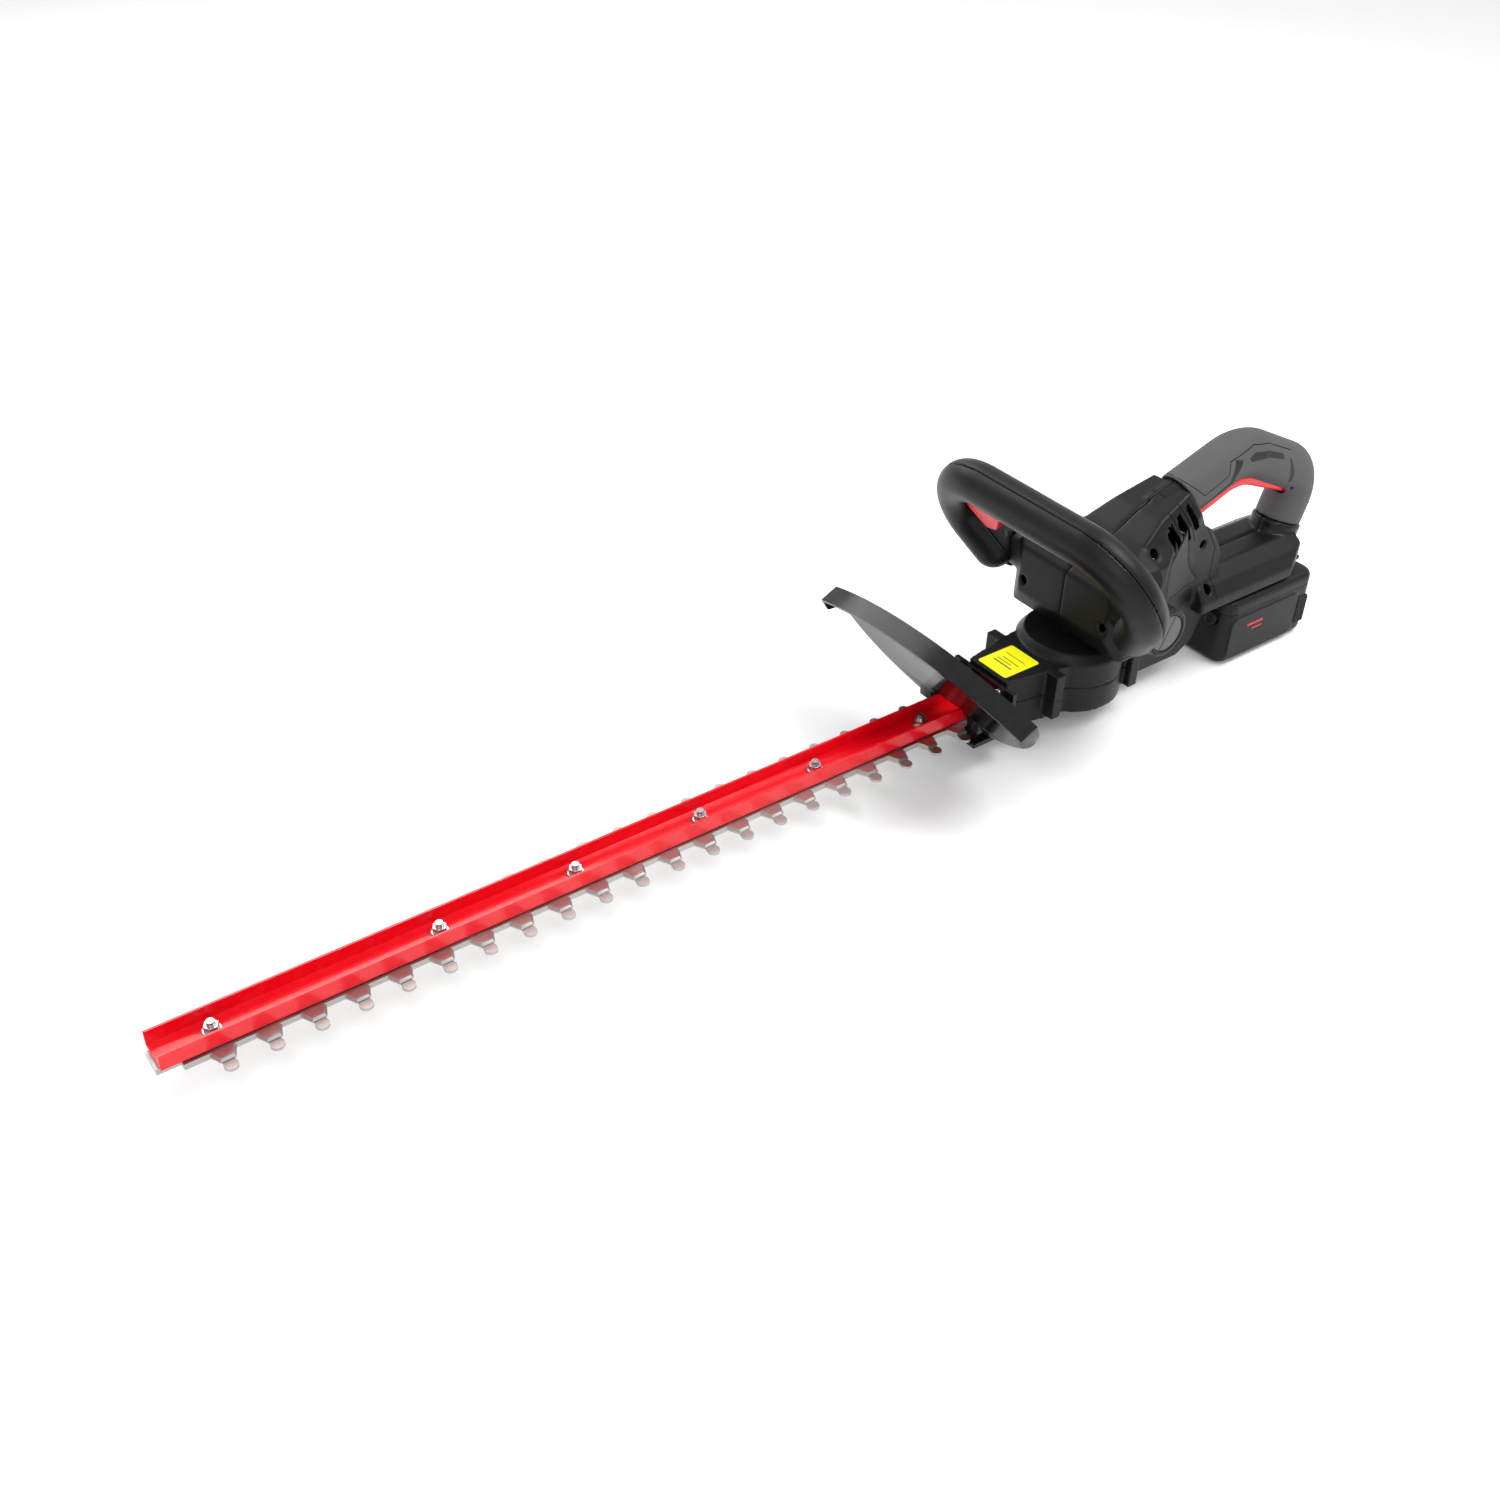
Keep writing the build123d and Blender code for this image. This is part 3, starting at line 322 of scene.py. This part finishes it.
def roundedPiece(nodeName, width, segments=2, limit=35):
    # the same shape with its sharp edges broken
    mesh = meshFrom(mergedCopy(nodeName), nodeName + "Rounded")
    piece = standIn(nodeName, mesh)
    bevel = piece.modifiers.new("brokenEdges", "BEVEL")
    bevel.width, bevel.segments = width, segments
    bevel.limit_method, bevel.angle_limit = "ANGLE", radians(limit)
    bevel.harden_normals = False
    mesh.shade_smooth()
    mesh.set_sharp_from_angle(angle=radians(limit))


def slotCutter(settings):
    # boxes set square across the neck, one each side for every slot
    form = bmesh.new()
    along = Vector(settings["along"]).normalized()
    down = Vector((along.z, 0, -along.x))
    for offset, start, end in settings["slots"]:
        for facing in (1, -1):
            made = bmesh.ops.create_cube(form, size=mm)
            bmesh.ops.scale(form, verts=made["verts"], vec=(settings["width"], settings["depth"], end - start))
            middle = at(*settings["end"]) + along * offset * mm + down * (start + end) / 2 * mm
            middle.y = facing * (settings["reach"] + settings["depth"] / 2) * mm
            turn = Matrix((along, Vector((0, 1, 0)), -down)).transposed()
            bmesh.ops.rotate(form, verts=made["verts"], cent=(0, 0, 0), matrix=turn)
            bmesh.ops.translate(form, verts=made["verts"], vec=middle)
    bmesh.ops.recalc_face_normals(form, faces=form.faces)
    cutter = bpy.data.objects.new("slotCutter", meshFrom(form, "slotCutter"))
    bpy.context.collection.objects.link(cutter)
    return cutter


# offset along the neck, start and end of each slot, in millimetres
vents = dict(end=(-83.5, 0, 128.5), along=(0.88, 0, -0.47), width=4.6, depth=40, reach=11.5,
             slots=[(9, 3, 26), (20, 2, 27), (31, 1, 29)])
slotEdge = 45  # degrees between faces that stay sharp where a slot is cut


def evaluatedMesh(piece):
    graph = bpy.context.evaluated_depsgraph_get()
    return bpy.data.meshes.new_from_object(piece.evaluated_get(graph))


def mouldedPiece(nodeName, voxel, softness, cutter=None):
    # the same shape with every edge rounded as a moulding's are
    form = bmesh.new()
    form.from_mesh(nodes[nodeName].data)
    bmesh.ops.remove_doubles(form, verts=form.verts, dist=joinDistance)
    piece = bpy.data.objects.new(nodeName + "Source", meshFrom(form, nodeName + "Source"))
    bpy.context.collection.objects.link(piece)
    grid = piece.modifiers.new("grid", "REMESH")
    grid.mode, grid.voxel_size, grid.use_smooth_shade = "VOXEL", voxel, True
    relax = piece.modifiers.new("relax", "SMOOTH")
    relax.factor, relax.iterations = 0.5, softness
    if cutter:
        cut = piece.modifiers.new("cut", "BOOLEAN")
        cut.operation, cut.solver, cut.object = "DIFFERENCE", "EXACT", cutter
    mesh = evaluatedMesh(piece)
    mesh.name = nodeName + "Moulded"
    bpy.data.objects.remove(piece)
    mesh.shade_smooth()
    if cutter:
        mesh.set_sharp_from_angle(angle=radians(slotEdge))
    return standIn(nodeName, mesh)


roundedEdges = {  # bevel width in metres
    "guide_channel": 0.0004, "upper_blade": 0.00015, "lower_blade": 0.00025, "blade_nuts": 0.0003,
    "blade_bolts": 0.0003, "guard_screws": 0.0003, "gearbox_screws": 0.0002, "loop_caps": 0.0005,
    "hand_guard": 0.0006, "blank_label": 0.00006, "battery_latch": 0.0005, "battery_side_grips": 0.0003}
for nodeName, width in roundedEdges.items():
    roundedPiece(nodeName, width)
print("rounded pieces made")

softMouldings = {  # voxel in metres, rounds of smoothing
    "body_left_shell": (0.0012, 12), "body_right_shell": (0.0012, 12), "rear_grip": (0.001, 5),
    "loop_front_shell": (0.0012, 3), "loop_rear_shell": (0.0012, 3), "rear_trigger": (0.0007, 4),
    "front_lever": (0.0007, 6), "gearbox_upper_housing": (0.001, 3), "gearbox_lower_housing": (0.001, 3),
    "left_side_cover": (0.0008, 2), "right_side_cover": (0.0008, 2), "battery_upper_case": (0.001, 2),
    "battery_lower_case": (0.001, 2)}
ventCutter = slotCutter(vents)
moulded = {}
for nodeName, (voxel, softness) in softMouldings.items():
    cutter = ventCutter if nodeName.startswith("body") else None
    moulded[nodeName] = mouldedPiece(nodeName, voxel, softness, cutter)
bpy.data.objects.remove(ventCutter)
print("moulded pieces made")


# trims cut out of the surface they lie on, so that they follow it everywhere

def strip(first, second, width):
    # a thin four-cornered outline from one point to another, both (x, z)
    along = (Vector(second) - Vector(first)).normalized() * width / 2
    across = Vector((-along.y, along.x))
    return [Vector(first) - along + across, Vector(first) - along - across,
            Vector(second) + along - across, Vector(second) + along + across]


def strips(points, width):
    return [strip(first, second, width) for first, second in zip(points, points[1:])]


def cutPatch(source, outline, facing, reach):
    # the part of the source inside a convex outline seen along Y, on the side that faces that way
    form = bmesh.new()
    form.from_mesh(source.data)
    middle = sum((Vector(point) for point in outline), Vector((0, 0))) / len(outline)
    for first, second in zip(outline, list(outline[1:]) + [outline[0]]):
        edge = Vector(second) - Vector(first)
        normal = Vector((edge.y, -edge.x))
        if normal.dot(middle - Vector(first)) > 0:
            normal.negate()
        bmesh.ops.bisect_plane(form, geom=form.verts[:] + form.edges[:] + form.faces[:], dist=1e-7,
                               plane_co=at(first[0], 0, first[1]), plane_no=(normal.x, 0, normal.y),
                               clear_outer=True)
    bmesh.ops.bisect_plane(form, geom=form.verts[:] + form.edges[:] + form.faces[:], dist=1e-7,
                           plane_co=(0, facing * reach * mm, 0), plane_no=(0, -facing, 0), clear_outer=True)
    form.normal_update()
    hidden = [face for face in form.faces if face.normal.y * facing < 0.12]
    bmesh.ops.delete(form, geom=hidden, context="FACES")
    return form


def surfaceTrim(name, sources, outlines, settings, body):
    # patches of one or two surfaces, lifted clear of them and given a thickness
    whole = bmesh.new()
    for facing, source in sources:
        for outline in outlines:
            form = cutPatch(source, outline, facing, settings["reach"])
            for vertex in form.verts:
                vertex.co += vertex.normal * settings["lift"]
            part = meshFrom(form, name + "Part")
            whole.from_mesh(part)
            bpy.data.meshes.remove(part)
    mesh = meshFrom(whole, name)
    mesh.shade_smooth()
    piece = newPiece(name, mesh, body, settings["finish"])
    thickness = piece.modifiers.new("thickness", "SOLIDIFY")
    thickness.thickness, thickness.offset = settings["depth"], -1


inset = dict(finish="insetRubber", reach=2, lift=0.00012, depth=0.0008)
seam = dict(finish="seamShadow", reach=1, lift=0.00006, depth=0.0004)
stripe = dict(finish="stripeRed", reach=20, lift=0.00008, depth=0.0003)
gripSides = [(1, moulded["rear_grip"]), (-1, moulded["rear_grip"])]
surfaceTrim("gripInsets", gripSides, [
    [(-139, 138), (-132, 139.5), (-127.5, 124), (-132, 122)],
    [(-132, 126), (-127, 123.5), (-97, 111.5), (-97, 108), (-132, 121)],
    [(-146, 138), (-152, 140.5), (-168, 137.5), (-168.5, 132.3), (-148, 134.3)],
    [(-168, 137.5), (-187, 130), (-188.5, 125), (-168.5, 132.3)],
    [(-194.5, 124), (-198, 123), (-204.5, 109), (-205, 101), (-201.5, 101), (-199, 111)]], inset, "housing")
surfaceTrim("gripSeams", gripSides, strips(
    [(-62, 149), (-80, 137), (-101, 120.5), (-124, 129.5), (-127, 139), (-138, 142), (-152, 145.5), (-170, 142),
     (-200, 128)], 0.55), seam, "housing")
bodySides = [(1, moulded["body_left_shell"]), (-1, moulded["body_right_shell"])]


def neckPoint(along, down):
    # (x, z) at a distance along the neck from its end, and below its middle line
    return (vents["end"][0] + vents["along"][0] * along + vents["along"][2] * down,
            vents["end"][2] + vents["along"][2] * along - vents["along"][0] * down)


neckGrooves = [strip(neckPoint(along, top), neckPoint(along, foot), 0.7)
               for along, top, foot in ((14.5, -6, 34), (25.5, -6, 36))]
surfaceTrim("bodySeams", bodySides, strips([(-101, 98), (-116, 76), (-116, 36)], 0.6) + neckGrooves,
            seam, "housing")
batterySides = [(1, moulded["battery_lower_case"]), (-1, moulded["battery_lower_case"])]
surfaceTrim("batteryStripes", batterySides, [
    [(-176, 1), (-158, 1), (-158, -1.2), (-176, -1.2)],
    [(-176, -4), (-164, -4), (-164, -5.4), (-176, -5.4)]], stripe, "battery_pack")


def labelMarks(settings):
    # plain lines printed on the film, with no words
    form = bmesh.new()
    low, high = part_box("blank_label")
    height = high[2] + settings["lift"]
    for x, y, length, width in settings["lines"]:
        made = bmesh.ops.create_grid(form, x_segments=1, y_segments=1, size=0.5)
        place = Vector(((low[0] + high[0]) / 2 + x * mm, (low[1] + high[1]) / 2 + y * mm, height))
        bmesh.ops.scale(form, verts=made["verts"], vec=(length * mm, width * mm, 1))
        bmesh.ops.translate(form, verts=made["verts"], vec=place)
    mesh = meshFrom(form, "labelMarks")
    piece = newPiece("labelMarks", mesh, "housing", "switchPlastic")
    thickness = piece.modifiers.new("thickness", "SOLIDIFY")
    thickness.thickness, thickness.offset = settings["depth"], 1


def capSplits(settings):
    # the fine straight line across each round end cap
    form = bmesh.new()
    low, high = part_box("loop_caps")
    for facing, y in ((1, high[1]), (-1, low[1])):
        made = bmesh.ops.create_cube(form, size=mm)
        bmesh.ops.scale(form, verts=made["verts"], vec=(settings["width"], settings["height"], settings["length"]))
        bmesh.ops.rotate(form, verts=made["verts"], cent=(0, 0, 0),
                         matrix=Matrix.Rotation(radians(settings["tilt"]), 3, "Y"))
        place = ((low[0] + high[0]) / 2, y + facing * settings["height"] / 4 * mm, (low[2] + high[2]) / 2)
        bmesh.ops.translate(form, verts=made["verts"], vec=place)
    newPiece("capSplits", meshFrom(form, "capSplits"), "housing", "seamShadow")


capSplits(dict(width=0.5, height=0.12, length=25.5, tilt=-25))
labelMarks(dict(lift=0.00002, depth=0.00006,  # each line's x, y, length and width in millimetres
                lines=[(6, 0, 1.2, 18), (2.5, -2, 0.8, 14), (-1, 1, 0.8, 16), (-7, 0, 0.6, 20)]))
print("trims made")


# studio

studio = dict(floorColour=(0.96, 0.96, 0.96), floorRoughness=0.85, floorSize=12.0, worldStrength=0.8)


def buildStudio(settings):
    form = bmesh.new()
    bmesh.ops.create_grid(form, x_segments=2, y_segments=2, size=settings["floorSize"])
    mesh = meshFrom(form, "floor")
    floor = bpy.data.objects.new("floor", mesh)
    bpy.context.collection.objects.link(floor)
    material, _, shader, _ = startMaterial("floorPaper")
    shader.inputs["Base Color"].default_value = (*settings["floorColour"], 1)
    shader.inputs["Roughness"].default_value = settings["floorRoughness"]
    mesh.materials.append(material)
    world = bpy.data.worlds.new("studio")
    bpy.context.scene.world = world
    world.use_nodes = True
    background = world.node_tree.nodes["Background"]
    background.inputs["Color"].default_value = (1, 1, 1, 1)
    background.inputs["Strength"].default_value = settings["worldStrength"]
    bpy.context.scene.view_settings.view_transform = "Standard"


softboxes = {  # place, aim, size, power
    "keyBox": ((-0.9, 0.5, 1.7), (0, 0, 0.05), 1.0, 24),
    "fillBox": ((1.3, 1.4, 1.3), (0, 0, 0.05), 1.6, 12),
    "rimBox": ((0.0, -1.6, 1.4), (0, 0, 0.1), 1.4, 20)}


def buildLights(boxes):
    for name, (place, aim, size, power) in boxes.items():
        light = bpy.data.lights.new(name, "AREA")
        light.size, light.energy = size, power
        lamp = bpy.data.objects.new(name, light)
        lamp.location = place
        lamp.rotation_euler = (Vector(place) - Vector(aim)).to_track_quat("Z", "Y").to_euler()
        bpy.context.collection.objects.link(lamp)


viewpoint = dict(place=(0.5982, 0.7037, 0.7334), azimuth=142.96, elevation=36.73, roll=1.70,
                 lens=40.67, sensor=36, clip=(0.01, 50))


def buildCamera(settings):
    camera = bpy.data.cameras.new("camera")
    camera.lens, camera.sensor_width = settings["lens"], settings["sensor"]
    camera.clip_start, camera.clip_end = settings["clip"]
    rig = bpy.data.objects.new("camera", camera)
    bpy.context.collection.objects.link(rig)
    azimuth, elevation = radians(settings["azimuth"]), radians(settings["elevation"])
    back = Vector((sin(azimuth) * cos(elevation), -cos(azimuth) * cos(elevation), sin(elevation)))
    right = Vector((0, 0, 1)).cross(back).normalized()
    up = back.cross(right)
    turn = Matrix((right, up, back)).transposed() @ Matrix.Rotation(radians(settings["roll"]), 3, "Z")
    rig.matrix_world = Matrix.Translation(settings["place"]) @ turn.to_4x4()
    bpy.context.scene.camera = rig


buildStudio(studio)
buildLights(softboxes)
buildCamera(viewpoint)
print("studio ready")
